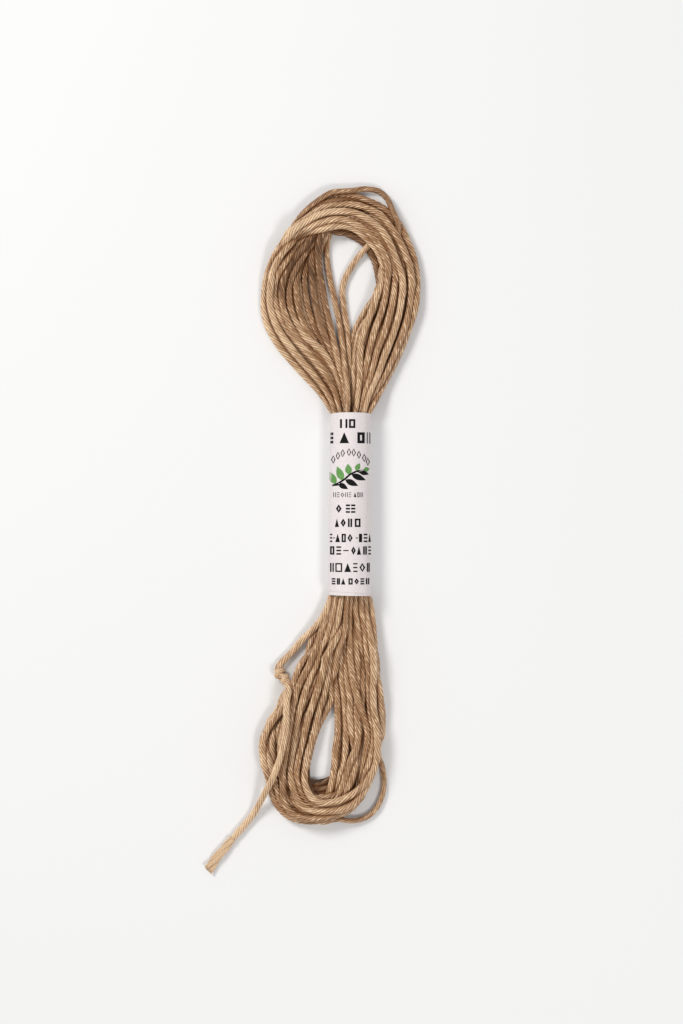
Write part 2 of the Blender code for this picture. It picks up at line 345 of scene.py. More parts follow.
tail_radius = 0.00064 * (1 + 0.30 * opened + 0.25 * worn)
whole = tail_far < cut - 0.0058
frayed = tail_far > cut - 0.0085
to_end = tail_far[whole][-1] - tail_far[whole]
tail_tone = 0.66 + 0.24 * rise(tail_far, 0.040, 0.060)
body = tail_radius[whole] * np.clip(0.3 + 0.7 * to_end / 0.004, 0, 1)
tail_runs = [(tail_line[whole], body, tail_tone[whole], tail_number)]
for hoop_start, hoop_turns, hoop_radius in hoops:
    hoop = []
    for share in np.linspace(0, 1, 26):
        at = int(np.searchsorted(tail_far, hoop_start + hoop_length * share))
        turned = 2 * math.pi * (hoop_turns * share - 0.55)
        reach = hoop_reach * math.sin(math.pi * min(1, 0.12 + 1.1 * share)) ** 0.3
        out = math.cos(turned) * tail_up[at] + math.sin(turned) * tail_side[at]
        hoop.append(tail_line[at] + reach * out)
    hoop = even_line(hoop, 0.0003)
    thick = np.full(len(hoop), hoop_radius)
    tail_runs.append((hoop, thick, np.full(len(hoop), 0.92), tail_number))
spread_rng = np.random.default_rng(5)
for number in range(2 * plies):
    tip = tail_line[frayed].copy()
    share = np.linspace(0, 1, len(tip))
    keep = share <= spread_rng.uniform(0.84, 1.0)
    turned = 2 * math.pi * number / plies - 3.2 * share + spread_rng.uniform(-0.3, 0.3)
    reach = 0.00047 + (0.00030 + 0.00035 * spread_rng.random()) * share ** 1.3
    reach = reach * (0.55 if number >= plies else 1.0)
    tip[:, 0] += reach * np.sin(turned) * 0.78
    tip[:, 1] -= reach * np.sin(turned) * 0.62
    tip[:, 2] += reach * np.cos(turned) * (1 - 0.5 * share) - 0.0001 * share
    tip[:, 2] = np.maximum(tip[:, 2], 0.00022)
    tip += spread_rng.normal(0, 0.00003, (1, 3))
    thick = 0.00026 * (1 - 0.25 * share[keep])
    tail_runs.append((tip[keep], thick, np.full(keep.sum(), 0.90), tail_number))
tail = spin_threads("tail", tail_runs, 4, 3)
tail.data.materials.append(silk_thread)
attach(tail, "root")
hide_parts("loose_end")

# ---- Turns of the upper loop -------------------------------------------------------------
# Eighteen turns of the floss go from the band round the upper loop and back. A turn is a
# row of places in millimetres: in plan, its layer in the pile, and how firmly it is held.
# Turns that show have their own course, and buried ones keep a share of the loop's width.

# The loop's inner edge and its outer edge, in pairs, from the band round and back.
upper = (
    (-0.6, 18, -3.7, 18), (-0.8, 21, -5.4, 21), (-1.4, 24.5, -8.6, 24.5),
    (-2.3, 28, -11.7, 28), (-3.1, 31, -14.0, 31), (-4.1, 35, -16.0, 35),
    (-4.9, 38.5, -16.4, 38.5), (-5.5, 42.5, -16.1, 42.5), (-6.0, 46, -15.1, 46.4),
    (-6.0, 49, -13.4, 50), (-5.0, 51.8, -11.4, 54), (-3.0, 53.5, -7.5, 58),
    (-0.5, 53.6, -1.5, 59.6), (1.8, 52.4, 4.4, 58), (3.8, 50.4, 8.6, 55),
    (5.3, 48.2, 11.2, 50.4), (6.1, 45.4, 12.6, 45.6), (5.7, 42, 12.8, 42),
    (4.4, 39, 12.5, 38.2), (2.8, 36.5, 11.6, 35), (1.2, 33.5, 10.2, 31.5),
    (0.5, 30, 8.8, 28.2), (0.3, 26, 6.9, 24.6), (0.4, 22, 4.9, 21), (0.4, 18, 3.7, 18),
)


def buried(edges, first, last, share, layer):
    """Part of a turn that keeps a share of the loop's width, from its inner to outer edge."""
    rows = np.array(edges[first:last + 1], float)
    part = np.linspace(share[0], share[1], len(rows))[:, None]
    plan = rows[:, :2] * (1 - part) + rows[:, 2:] * part
    level = np.linspace(layer[0], layer[1], len(rows))[:, None]
    return np.hstack([plan, level, np.full((len(rows), 1), 0.03)])


def shown(layer, *plan):
    """Part of a turn that is in sight, with its own course."""
    plan = np.array(plan, float).reshape(-1, 2)
    level = np.linspace(layer[0], layer[1], len(plan))[:, None]
    return np.hstack([plan, level, np.full((len(plan), 1), 0.6)])


upper_turns = [
    [shown((5, 1.3), -3.7, 18, -4.6, 19.8, -5.8, 21.5, -7.4, 23.3, -9, 25, -10.6, 26.8,
           -12, 28.4, -13.2, 29.8, -14.4, 31.6, -15.4, 33.4, -16.1, 35, -16.5, 36.6),
     shown((1.8, 2.3), -16.7, 38.4, -16.6, 40.2, -16.4, 42.4, -15.9, 44.6, -15.2, 46.6,
           -14.2, 48.4, -13.1, 49.9),
     shown((1.6, 0.4), -12.2, 50.9, -11.5, 51.9, -10.9, 53.1, -10.2, 54.5, -9.2, 55.9, -8, 57),
     shown((0.6, 2.2), -6.7, 58, -5.2, 58.9, -3.6, 59.4, -2, 59.7, 0, 59.6, 1.5, 59.2,
           3, 58.6, 5, 57.8, 7, 56.6, 8.5, 55.2, 9.6, 53.6, 10.6, 51.6, 11.5, 49.4,
           12.2, 47.4),
     shown((2, 2), 12.8, 44, 12.8, 42, 12.7, 40, 12.5, 38, 11.9, 36, 11.2, 34, 10.5, 32),
     shown((2, 5), 9.7, 30, 8.8, 28, 7.9, 26, 6.9, 24, 5.7, 22, 4.6, 20, 3.7, 18)],
    [shown((5, 1.5), -3, 18, -3.6, 20, -4.6, 21.8, -5.9, 23.6, -7.2, 25.2, -8.6, 26.8,
           -9.9, 28.3, -11.2, 29.8, -12.4, 31.4, -13.5, 33),
     shown((2.0, 2.4), -14.4, 34.8, -15, 36.4, -15.4, 38.2, -15.5, 40, -15.4, 42, -15, 44.4,
           -14.3, 46.2, -13.4, 47.8, -12.4, 49.2),
     shown((1.1, 0.2), -11.3, 50.5, -10.5, 52, -9.7, 53.6, -8.7, 55.2, -7.4, 56.6),
     shown((0.5, 2.0), -5.8, 57.6, -4, 58.2, -1, 58.6, 1, 58.5, 3, 58, 5, 57.3, 6.5, 56.4,
           7.8, 55, 9, 53.2, 10, 51.3, 10.9, 49.2, 11.5, 47.2),
     buried(upper, 17, 24, (0.93, 0.9), (1, 3))],
    [shown((5, 1.6), -2.2, 18, -2.6, 20.8, -3.3, 22.4, -4.3, 24.2, -5.4, 25.8, -6.5, 27.2,
           -7.7, 28.5, -9, 29.9, -10.3, 31.3, -11.5, 32.8),
     shown((2.0, 2.3), -12.6, 34.4, -13.4, 35.8, -14.1, 37.4, -14.5, 39, -14.7, 40.8,
           -14.5, 42.6, -13.9, 44.4, -13, 46, -12, 47.6, -10.6, 49.6),
     shown((1.3, 0.5), -9, 51, -7.4, 52.2), buried(upper, 11, 24, (0.6, 0.7), (0, 3))],
    [shown((4.6, 2.4), -1.6, 18, -2, 20.4, -2.6, 22, -3.2, 23.2, -4.2, 24.8, -5.2, 26.3,
           -6.2, 27.6, -7.4, 29.1, -8.6, 30.6),
     shown((2.0, 1.6), -10.2, 32.4, -11.3, 33.8, -12.2, 35.4, -12.8, 37, -13.2, 39,
           -13.3, 41, -13, 42.8, -12.4, 44.6, -11.4, 46.4, -10.4, 48, -8.8, 49.6),
     shown((1.1, 0.4), -7.6, 51.2, -6.8, 52.4), buried(upper, 11, 24, (0.42, 0.5), (0, 2))],
    [shown((5, 2.6), -1.1, 18, -1.8, 22.6, -2.2, 23.6, -2.7, 25, -3.3, 26.2, -4, 27.4,
           -4.8, 28.6, -5.5, 29.6, -6.4, 30.4),
     shown((1.4, 1.1), -8.6, 32.2, -9.4, 33, -10.2, 34.4, -11, 36.2, -11.6, 38, -11.9, 40,
           -11.8, 42, -11.4, 43.6, -10.6, 45.4, -9.8, 46.8, -8.8, 48.4, -7.6, 50),
     shown((1.0, 0.3), -6.4, 51.2, -5.6, 52.4), buried(upper, 11, 24, (0.25, 0.3), (0, 1))],
    [buried(upper, 0, 3, (0.4, 0.5), (1, 0.4)),
     shown((1.0, 1.0), -7, 31.6, -8, 32.8, -8.8, 34, -9.3, 35.6, -9.8, 37.2, -10.2, 39,
           -10.4, 41, -10.5, 43, -10, 45, -9.4, 47),
     buried(upper, 10, 24, (0.5, 0.93), (0, 1))],
    [buried(upper, 0, 2, (0.25, 0.35), (2, 1)),
     shown((1.4, 1.0), -4.9, 30.8, -5.6, 31.6, -6.3, 32.8, -7, 34.4, -7.5, 35.8, -8, 37.4,
           -8.4, 39, -8.7, 41, -8.9, 43, -8.7, 45, -8.2, 47),
     buried(upper, 10, 24, (0.3, 0.72), (0, 0))],
    [shown((4, 3), -1.4, 18, -1.5, 21.5, -1.9, 25, -2.5, 26.6, -3.2, 28.4),
     shown((2.0, 1.0), -3.9, 30, -4.6, 31.6, -5.2, 33, -5.8, 34.6, -6.2, 36.2, -6.6, 38,
           -7, 40, -7.2, 42, -7.4, 44, -7.5, 46, -7.4, 48),
     buried(upper, 10, 24, (0.2, 0.5), (0, 0))],
    [shown((5, 3.5), -0.9, 18, -1.2, 23, -1.9, 25.6, -2.4, 27.6, -2.9, 29.6, -3.3, 31.4),
     shown((2.0, 0.8), -3.7, 33.2, -4.1, 35, -4.5, 36.6, -4.9, 38.5, -5.2, 40.4, -5.5, 42.5,
           -6, 45, -6.2, 48, -6.0, 50.6, -5.4, 52.4), buried(upper, 11, 24, (0.1, 0.15), (0, 0))],
    [shown((5, 3), -0.5, 18, -0.6, 22, -1, 25, -1.3, 28, -1.5, 30, -1.7, 32, -2, 34),
     shown((1.6, 0), -2.3, 36, -2.75, 38, -3.15, 40, -3.65, 42, -4.05, 44, -4.4, 46,
           -4.6, 48, -4.6, 50, -4.2, 52, -3.2, 53.8),
     buried(upper, 12, 24, (0.12, 0.3), (0, 1))],
    [shown((4, 3), -0.2, 18, -0.2, 22, -0.3, 27, -0.5, 32, -0.7, 34),
     shown((1.8, 0.2), -1, 36, -1.3, 38, -1.5, 40, -1.6, 41, -1.4, 42.5, -0.9, 44,
           -0.2, 45.2, 0.5, 46.4, 1.2, 47.4, 2.2, 48.6, 3.2, 49.6),
     shown((0.2, 0.2), 3.9, 50.6, 5, 51.6, 6.4, 51.4), buried(upper, 16, 24, (0.1, 0.05), (1, 4))],
    [buried(upper, 0, 7, (0.9, 0.93), (0, 0)),
     shown((0, 0.4), -14.4, 46.4, -13.9, 48.2, -13.2, 49.8),
     shown((2.0, 2.8), -12.1, 51.8, -11.4, 52.7, -10.1, 53.8, -8.7, 54.9, -7.1, 56, -5.8, 56.8),
     shown((2.8, 2.6), -4.3, 57.3, -2, 57.6, 0, 57.7, 2, 57.4, 4, 56.7, 5.4, 56, 6.4, 55,
           7.5, 53.6, 8.5, 52.2, 9.3, 50.9, 10, 49.5, 10.5, 48.3, 11, 47, 11.4, 46),
     shown((2.5, 2.5), 11.7, 44, 11.8, 42, 11.6, 40, 11.3, 38, 11, 36, 10.4, 34, 9.7, 32),
     shown((2.6, 5), 8.9, 30, 8, 28, 7.1, 26, 6.1, 24, 4.9, 22, 3.8, 20, 3.2, 18)],
    [buried(upper, 0, 7, (0.78, 0.8), (0, 0)),
     shown((0, 0.4), -14, 46.2, -13.6, 48, -13, 49.5),
     shown((2.2, 2.8), -11.8, 51.5, -11, 52.6, -9.9, 53.4, -8.4, 54.3, -7.1, 55.1, -5.5, 55.8),
     shown((2.8, 2.6), -3.6, 56.2, 0, 56.2, 2, 55.5, 3.5, 54.7, 5, 53.6, 6, 52.6, 7, 51.2,
           7.7, 49.8, 8.3, 48.2, 9, 46.4),
     shown((2.5, 2.5), 9.9, 44, 10, 42, 9.9, 40, 9.6, 38, 9.2, 36, 8.6, 34, 7.9, 32),
     shown((2.6, 5), 7.1, 30, 6.3, 28, 5.7, 26, 4.9, 24, 3.8, 22, 3, 20, 2.6, 18)],
    [buried(upper, 0, 7, (0.64, 0.66), (0, 0)),
     shown((0, 0.4), -13.4, 46, -13.2, 47.8, -12.7, 49.4),
     shown((1.6, 2.2), -11.5, 51.3, -10.9, 52.3, -9.7, 53.1, -8, 53.9, -6, 54.8, -4, 55.4),
     shown((2.2, 2.5), -2, 55.6, 1, 55.1, 2.5, 54.3, 4, 53.2, 5, 52.1, 5.9, 51, 6.7, 49.6,
           7.3, 48, 8, 46),
     shown((2.5, 2.5), 8.6, 44, 8.5, 42, 8.3, 40, 7.9, 38, 7.4, 36, 6.8, 34, 6.1, 32),
     shown((2.6, 5), 5.3, 30, 4.7, 28, 4.2, 26, 3.6, 24, 2.9, 22, 2.3, 20, 2, 18)],
    [buried(upper, 0, 7, (0.5, 0.52), (0, 0)),
     shown((0, 0.4), -12.8, 45.8, -12.9, 47.6, -12.5, 49.2),
     shown((2.0, 2.8), -11.5, 51, -10.8, 52, -9.6, 52.6, -8, 53.2, -6, 54),
     shown((2.8, 2.6), -4, 54.6, -2, 54.8, 0, 54.4, 1.5, 53.6, 3, 52.6, 4.2, 51.4,
           5.2, 50.2, 6.1, 48.8, 6.8, 47.2, 7.2, 45.6),
     shown((2.5, 2.5), 7.1, 43.6, 6.9, 42, 6.7, 40, 6.2, 38, 5.6, 36, 4.8, 34, 4.2, 32),
     shown((2.6, 5), 3.7, 30, 3.3, 28, 2.9, 26, 2.6, 24, 2, 21, 1.5, 18)],
    [buried(upper, 0, 7, (0.36, 0.4), (0, 0)),
     shown((0, 0.4), -12, 45.4, -12.4, 47.2, -12.3, 48.9),
     shown((1.8, 2.5), -11.4, 50.7, -10.7, 51.5, -9.5, 52, -8, 52.5, -6, 52.8, -4, 53.3,
           -2.6, 53.6, -1, 53.6, 0.8, 53.1, 2.2, 52.1, 3.4, 51, 4.5, 49.8, 5.4, 48.5, 6, 47,
           6.3, 45.5),
     shown((2.3, 2.3), 6.2, 43.4, 5.6, 41.6, 4.6, 38.6, 3.6, 36, 2.8, 34, 2.1, 32),
     shown((2.4, 5), 1.9, 30, 1.8, 28, 1.8, 24, 1.5, 22, 1.2, 20, 1, 18)],
    [buried(upper, 0, 8, (0.2, 0.085), (0, 0)),
     buried(upper, 9, 16, (0.12, 0.3), (0, 1)),
     shown((1.4, 3), 5.6, 42, 4.9, 40, 3.4, 38, 2.3, 36, 1.2, 34, 0.4, 31, 0.3, 26,
           0.4, 22, 0.4, 18)],
    [buried(upper, 0, 7, (0.9, 0.75), (1, 0.8)),
     shown((0.4, 1.2), -13.6, 47.6, -12.6, 50, -11.8, 51.8, -10.8, 53.8, -9, 56.2, -6.6, 58.3),
     shown((2, 3), -4, 60, -2.6, 60.3, -1, 60.4, 0.8, 60.5, 2.4, 60.9, 4, 60.8, 5.4, 60.5,
           6.6, 59.6, 7.4, 58.4, 7.9, 57, 8.5, 55.6, 9.2, 54),
     buried(upper, 15, 24, (0.7, 0.6), (1, 2))],
]

# ---- Turns of the lower loop -------------------------------------------------------------
# The same floss goes on round the lower loop. Its outer turns have slipped out to the left
# in a slack bulge, and the turns of the right side dive under the ones along the bottom.

lower = (
    (-0.6, -18, -3.6, -18), (-1.6, -21.5, -4.3, -21.5), (-2.6, -25, -5.6, -25),
    (-3.4, -29, -7.2, -29), (-4.0, -33, -9.2, -33), (-4.6, -36.5, -11.2, -36.5),
    (-5.4, -40, -13.2, -40), (-6.8, -43.5, -14.8, -44), (-8.0, -47, -15.6, -48),
    (-8.6, -50, -15.6, -51), (-8.8, -52, -15.2, -54.5), (-8.2, -53.7, -13.4, -58.4),
    (-6.4, -53.9, -9.5, -60.6), (-4.8, -53.6, -5, -60.7), (-3.7, -52.6, -1, -59.5),
    (-3.1, -50, 2, -56.6), (-2.8, -47, 4.2, -52.4), (-2.5, -44, 5.4, -47.4),
    (-2.4, -40, 5.9, -42.5), (-2.6, -36, 5.7, -38), (-3, -32, 5, -33.4),
    (-2.9, -28, 4.7, -29), (-2.4, -25, 4.5, -25), (-1.4, -21.5, 4.2, -21.5),
    (-0.3, -18, 3.8, -18),
)

lower_turns = [
    [buried(lower, 0, 1, (0.9, 0.95), (4, 3)),
     shown((3, 2.4), -5.2, -24, -6, -26, -6.8, -28, -7.5, -30, -8.5, -32, -9.6, -34,
           -10.4, -36, -10.9, -38, -11.3, -40, -11.6, -42, -11.9, -44, -12.3, -46,
           -12.6, -48, -12.9, -50, -13.1, -52, -13, -54),
     shown((2.4, 2.6), -13, -56, -12.4, -57.8, -11.2, -59.4, -9.4, -60.2, -7.2, -60.3,
           -5, -60.2, -2.8, -59.7, -0.8, -59, 0.4, -58.2, 1.4, -57, 2.3, -55.8),
     buried(lower, 17, 24, (0.85, 0.9), (1, 2))],
    [buried(lower, 0, 2, (0.7, 0.8), (5, 4)),
     shown((3, 2.4), -5.6, -27, -6, -29, -6.7, -31, -7.6, -33, -8.4, -35, -9.3, -38,
           -9.9, -40, -10.4, -42.5, -10.8, -45, -11.1, -47, -11.4, -49, -11.6, -51),
     shown((2.4, 2.8), -11.5, -53, -10.9, -55, -10, -57, -8.4, -58.4, -6.4, -59, -4, -58.8,
           -2, -58.6, 0, -57.8, 1.2, -56.8, 2.4, -55.2, 3.4, -53.4, 4.6, -50.6),
     shown((2, 2), 5.4, -46, 5.7, -43, 5.8, -40, 5.6, -36, 5.2, -34, 4.7, -31),
     shown((2.4, 4), 4.6, -28, 4.4, -25, 4.2, -22, 3.9, -19, 3.8, -18)],
    [buried(lower, 0, 3, (0.5, 0.45), (5, 4)),
     shown((3, 2.4), -4.9, -30.5, -5.3, -32, -5.9, -34, -6.5, -36, -7.1, -38, -7.8, -40,
           -8.4, -42, -8.9, -44, -9.3, -46, -9.9, -48, -10.3, -50, -10.4, -52),
     shown((2.4, 2.6), -10.1, -54, -9.3, -56, -7.9, -57.4, -6, -58.1, -3.6, -57.9,
           -1.6, -57.6, 0.4, -56.8, 2, -55),
     buried(lower, 16, 20, (0.9, 0.85), (2, 2)),
     shown((3, 5), 3.3, -30, 3.2, -28, 3, -26, 2.7, -24, 2.3, -22, 2.1, -20, 1.9, -18)],
    [buried(lower, 0, 1, (0.5, 0.5), (6, 5)),
     shown((4, 2.6), -3.6, -26, -3.9, -28, -4.1, -30, -4.3, -32, -4.6, -34, -5, -36,
           -5.7, -38, -6.2, -40, -6.6, -42, -7.1, -44, -7.6, -46, -8.3, -48, -8.7, -50),
     shown((2.6, 3), -8.9, -52, -8.7, -54, -7.9, -55.8, -6.6, -57, -5.2, -57.4, -4, -57.2,
           -2.5, -57, -1, -56.4, 0.5, -55.6, 1.8, -54.6, 3, -53.2, 4.1, -51.6, 4.8, -50),
     shown((2.8, 2.8), 5.1, -48, 5.2, -46, 5.1, -44, 4.9, -42, 4.5, -40, 4.4, -38,
           4.3, -36, 4.4, -34, 4.5, -32, 4.4, -30),
     shown((3, 5), 4.3, -28, 3.9, -26, 3.4, -24, 3.1, -22, 2.9, -20, 2.7, -18)],
    [buried(lower, 0, 4, (0.2, 0.05), (4, 2)),
     shown((2, 1.6), -3.6, -37, -4.1, -38.6, -4.8, -40, -5.7, -41.6, -6.4, -43, -7.1, -45,
           -7.7, -47, -8.2, -49, -8.5, -51, -8.4, -53),
     shown((1.5, 1.2), -7.8, -55.2, -6.6, -56.8, -4.8, -57.6, -3, -57.4),
     buried(lower, 15, 24, (0.45, 0.6), (2, 3))],
    [buried(lower, 0, 2, (0.95, 1.0), (3, 3)),
     shown((3, 2), -9, -30, -10.4, -33, -11.6, -36, -13, -39, -14, -40.4, -15, -41.6,
           -16, -43.2, -16.8, -45, -17, -47, -16.6, -50, -15.9, -51.8),
     shown((1.6, 1), -15.3, -54.6, -14.9, -56.4, -14, -58, -12.7, -59.5, -11, -60.5,
           -8.8, -60.9, -6.4, -60.9, -4.2, -60.4, -2, -59.8),
     buried(lower, 15, 17, (0.8, 0.75), (1, 1.5)),
     shown((2.4, 3.4), 3.1, -42.5, 2.6, -41, 1.9, -39, 1.1, -36.5, 0.5, -34, 0.1, -31,
           -0.1, -28, -0.2, -26, -0.4, -24),
     shown((4, 5), -0.3, -21, 0, -18)],
    [buried(lower, 0, 3, (0.9, 1.05), (1, 2)),
     shown((1.8, 1.2), -12.8, -37.6, -14, -39.8, -15.6, -42, -16.1, -44, -16.2, -46,
           -16, -48, -15.6, -50, -15, -52, -14.3, -54, -13.7, -56, -12.8, -57.8),
     buried(lower, 12, 14, (0.85, 0.8), (0, 0.6)),
     shown((1, 2.6), -1, -55.8, -0.2, -54, 0.4, -52, 0.9, -50, 0.9, -48, 0.7, -46, 0.3, -44,
           0.1, -42, -0.2, -40, 0, -38, -0.3, -36, -0.5, -34, -0.7, -32, -0.9, -30, -1, -28,
           -1.3, -26),
     shown((3, 4), -1.5, -24, -1.2, -21, -0.9, -18)],
    [buried(lower, 0, 4, (0.7, 0.9), (1, 1.5)),
     shown((1.5, 0.8), -12.9, -37, -13.6, -40, -14.5, -42.5, -15, -45, -15.1, -47,
           -15.1, -49, -15.4, -51, -14.8, -54),
     buried(lower, 12, 13, (0.7, 0.7), (0, 0)), shown((0, 0), -3.4, -57.2),
     shown((0.6, 2.6), -2.7, -55.8, -2.3, -54, -1.9, -52, -1.1, -50, -0.9, -46, -0.8, -43,
           -0.9, -40, -1.1, -38, -1.3, -36, -1.6, -34, -1.8, -32, -1.9, -30, -2.1, -28,
           -2.3, -26),
     shown((3, 4), -2.6, -24, -2.1, -21, -1.6, -18)],
    [buried(lower, 0, 4, (0.6, 0.8), (0.6, 1)),
     shown((1.2, 0.6), -11.9, -37.4, -12.8, -40, -13.6, -43, -13.9, -46, -14, -49,
           -14.2, -52, -13.4, -55),
     buried(lower, 11, 12, (0.6, 0.6), (0, 0)), shown((0, 0), -5.4, -57.6),
     shown((0.4, 2.4), -4.3, -56.3, -3.9, -55, -3.4, -53, -3, -50, -2.9, -48, -2.7, -46,
           -2.4, -44, -2.4, -41, -2.5, -38, -2.7, -36, -2.9, -34, -3.1, -32, -3.2, -30),
     buried(lower, 22, 24, (0.04, 0.1), (3, 3))],
    [buried(lower, 0, 10, (0.5, 0.5), (0, 0)), buried(lower, 11, 16, (0.5, 0.5), (0, 1)),
     shown((2, 2.6), 1.9, -43, 2, -40, 2.2, -38, 2.4, -34, 2.3, -30, 2.1, -28, 1.8, -26,
           1.6, -24),
     shown((4, 5), 1.1, -22, 0.9, -20, 0.9, -18)],
    [buried(lower, 0, 8, (0.3, 0.4), (1, 0.6)),
     shown((0.3, 0.3), -10.4, -51.6, -8.8, -53.3, -6.6, -53.75, -4.4, -53.3, -2.2, -52.0),
     buried(lower, 16, 24, (0.3, 0.5), (0.3, 1))],
    [buried(lower, 0, 8, (0.0, 0.14), (0, 0)),
     shown((0, 0), -9.8, -52.4, -8.6, -54.2, -6.6, -55.0, -4.2, -54.7, -2.0, -53.4),
     buried(lower, 16, 24, (0.08, 0.15), (0, 0))],
    [buried(lower, 0, 12, (0.75, 0.9), (0, 0)), buried(lower, 13, 24, (0.9, 0.9), (0, 0))],
    [buried(lower, 0, 12, (0.6, 0.78), (1, 1)), buried(lower, 13, 24, (0.78, 0.72), (0.6, 1))],
    [buried(lower, 0, 12, (0.3, 0.3), (0, 0)), buried(lower, 13, 24, (0.3, 0.4), (0, 0))],
    [buried(lower, 0, 12, (0.85, 0.6), (1.4, 1)), buried(lower, 13, 24, (0.65, 0.6), (1, 0))],
    [buried(lower, 0, 12, (0.45, 0.8), (1, 0)), buried(lower, 13, 24, (0.8, 0.25), (0, 1))],
    [buried(lower, 0, 11, (0.3, 0.65), (2, 1)),
     shown((1.4, 2), -6, -60.9, -4, -60.8, -2.4, -60.5, -0.8, -60.9, 0.8, -61, 2.6, -60.6,
           4.2, -59.6, 5.4, -58, 6.2, -56, 6.5, -54, 6.4, -52, 6, -50, 5.4, -48.4),
     buried(lower, 18, 24, (0.85, 0.8), (1, 2))],
]

# ---- Settling ----------------------------------------------------------------------------
# The turns are pulled together by the band, where they are pressed close, and sink onto
# the table and onto each other. Each is moved a little at a time until none lies in
# another. The thread is soft, so it flattens where it is pressed.

band_half = 17.6
mouth_middle = 3.48
mouth_high = 2.64
seats_wide = 3.2
table_gap = 0.70
pile_step = 1.2
point_step = 0.95
thread_room = 1.27
touch_reach = 2.1
side_by_side = 0.75
rounds = 150
sink = 0.02
push_share = 0.24
smooth_share = 0.45
longest_move = 0.25


def pinch(y):
    """How far the band's grip thins a thread at this distance from the band's middle."""
    free = rise(np.abs(y), 18, 30)
    return 0.79 + 0.21 * free * free * (3 - 2 * free)


def band_seats(count):
    """Places for the threads in the band's oval mouth, in close-packed rows."""
    pitch = 1.2
    row_rise = 0.866
    while True:
        rows, columns = np.mgrid[-8:9, -8:9]
        x = (columns + 0.5 * (rows % 2)).ravel() * pitch
        z = rows.ravel() * pitch * row_rise
        room = (x / seats_wide) ** 2 + (z / mouth_high) ** 2
        if (room <= 1).sum() >= count:
            best = np.argsort(room)[:count]
            return np.stack([x[best], z[best] + mouth_middle], 1)
        pitch *= 0.985


def to_seats(places, seats):
    """Gives each leg at the mouth the seat nearest its own side and layer."""
    column = 6
    order = np.argsort(places[:, 0], kind="stable")
    by_side = np.argsort(seats[:, 0], kind="stable")
    given = np.zeros(len(places), int)
    for start in range(0, len(places), column):
        legs = order[start:start + column]
        these = by_side[start:start + column]
        legs = legs[np.argsort(places[legs, 1], kind="stable")]
        given[legs] = these[np.argsort(seats[these, 1], kind="stable")]
    return seats[given]


def lay_turns(turns, sign):
    """Lines of the turns before they settle, with both legs brought into the band."""
    lines = [np.vstack(parts) for parts in turns]
    mouths = np.array([row[:3] for line in lines for row in (line[0], line[-1])])
    seats = to_seats(mouths[:, [0, 2]], band_seats(len(mouths)))
    made = []
    for number, line in enumerate(lines):
        line = line.copy()
        line[:, 2] = table_gap + pile_step * line[:, 2]
        ends = []
        for end in (0, 1):
            x, z = seats[2 * number + end]
            rows = [(x, sign * y, z, 0.02) for y in (0.0, 3.5, 7.0, 10.5, 14.0, 16.5)]
            ends.append(rows if end == 0 else rows[::-1])
            near = np.arange(len(line)) < len(line) / 2
            near = near if end == 0 else ~near
            pull = rise(np.abs(line[:, 1]), 30, 18) * near
            line[:, 2] += pull * (z - line[:, 2])
            slack = pull * (line[:, 3] < 0.1)
            line[:, 0] += slack * (x - line[:, 0])
        made.append(even_line(np.vstack([ends[0], line, ends[1]]), point_step))
    return made


def tree_of(points):
    """A search tree that finds the points near a place."""
    tree = kdtree.KDTree(len(points))
    for index, place in enumerate(points):
        tree.insert(place, index)
    tree.balance()
    return tree


def near_pairs():
    """Points that may touch, of two threads or of one thread that comes back to itself."""
    tree = tree_of(spot)
    pairs = []
    for index, place in enumerate(spot[:steady]):
        for _, other, _ in tree.find_range(place, touch_reach):
            if other > index and (owner[other] != owner[index] or other - index > 5):
                pairs.append((index, other))
    return np.array(pairs).T


laid = lay_turns(upper_turns, 1) + lay_turns(lower_turns, -1)
lengths = [len(line) for line in laid]
home = np.vstack(laid)[:, :3]
steady = len(home)
starts = np.cumsum([0] + lengths[:-1])
ends = np.cumsum(lengths) - 1
fixed = np.zeros(steady, bool)
fixed[starts] = True
fixed[ends] = True
inner = np.flatnonzero(~fixed)
grip = np.vstack(laid)[:, 3]
grip = np.where(np.abs(home[:, 1]) < 25, grip * 0.35, grip)
tail_points = even_line(np.array(tail_route), point_step)
spot = np.vstack([home, tail_points])
owner = np.repeat(np.arange(len(laid)), lengths)
owner = np.r_[owner, np.full(len(tail_points), tail_number)]

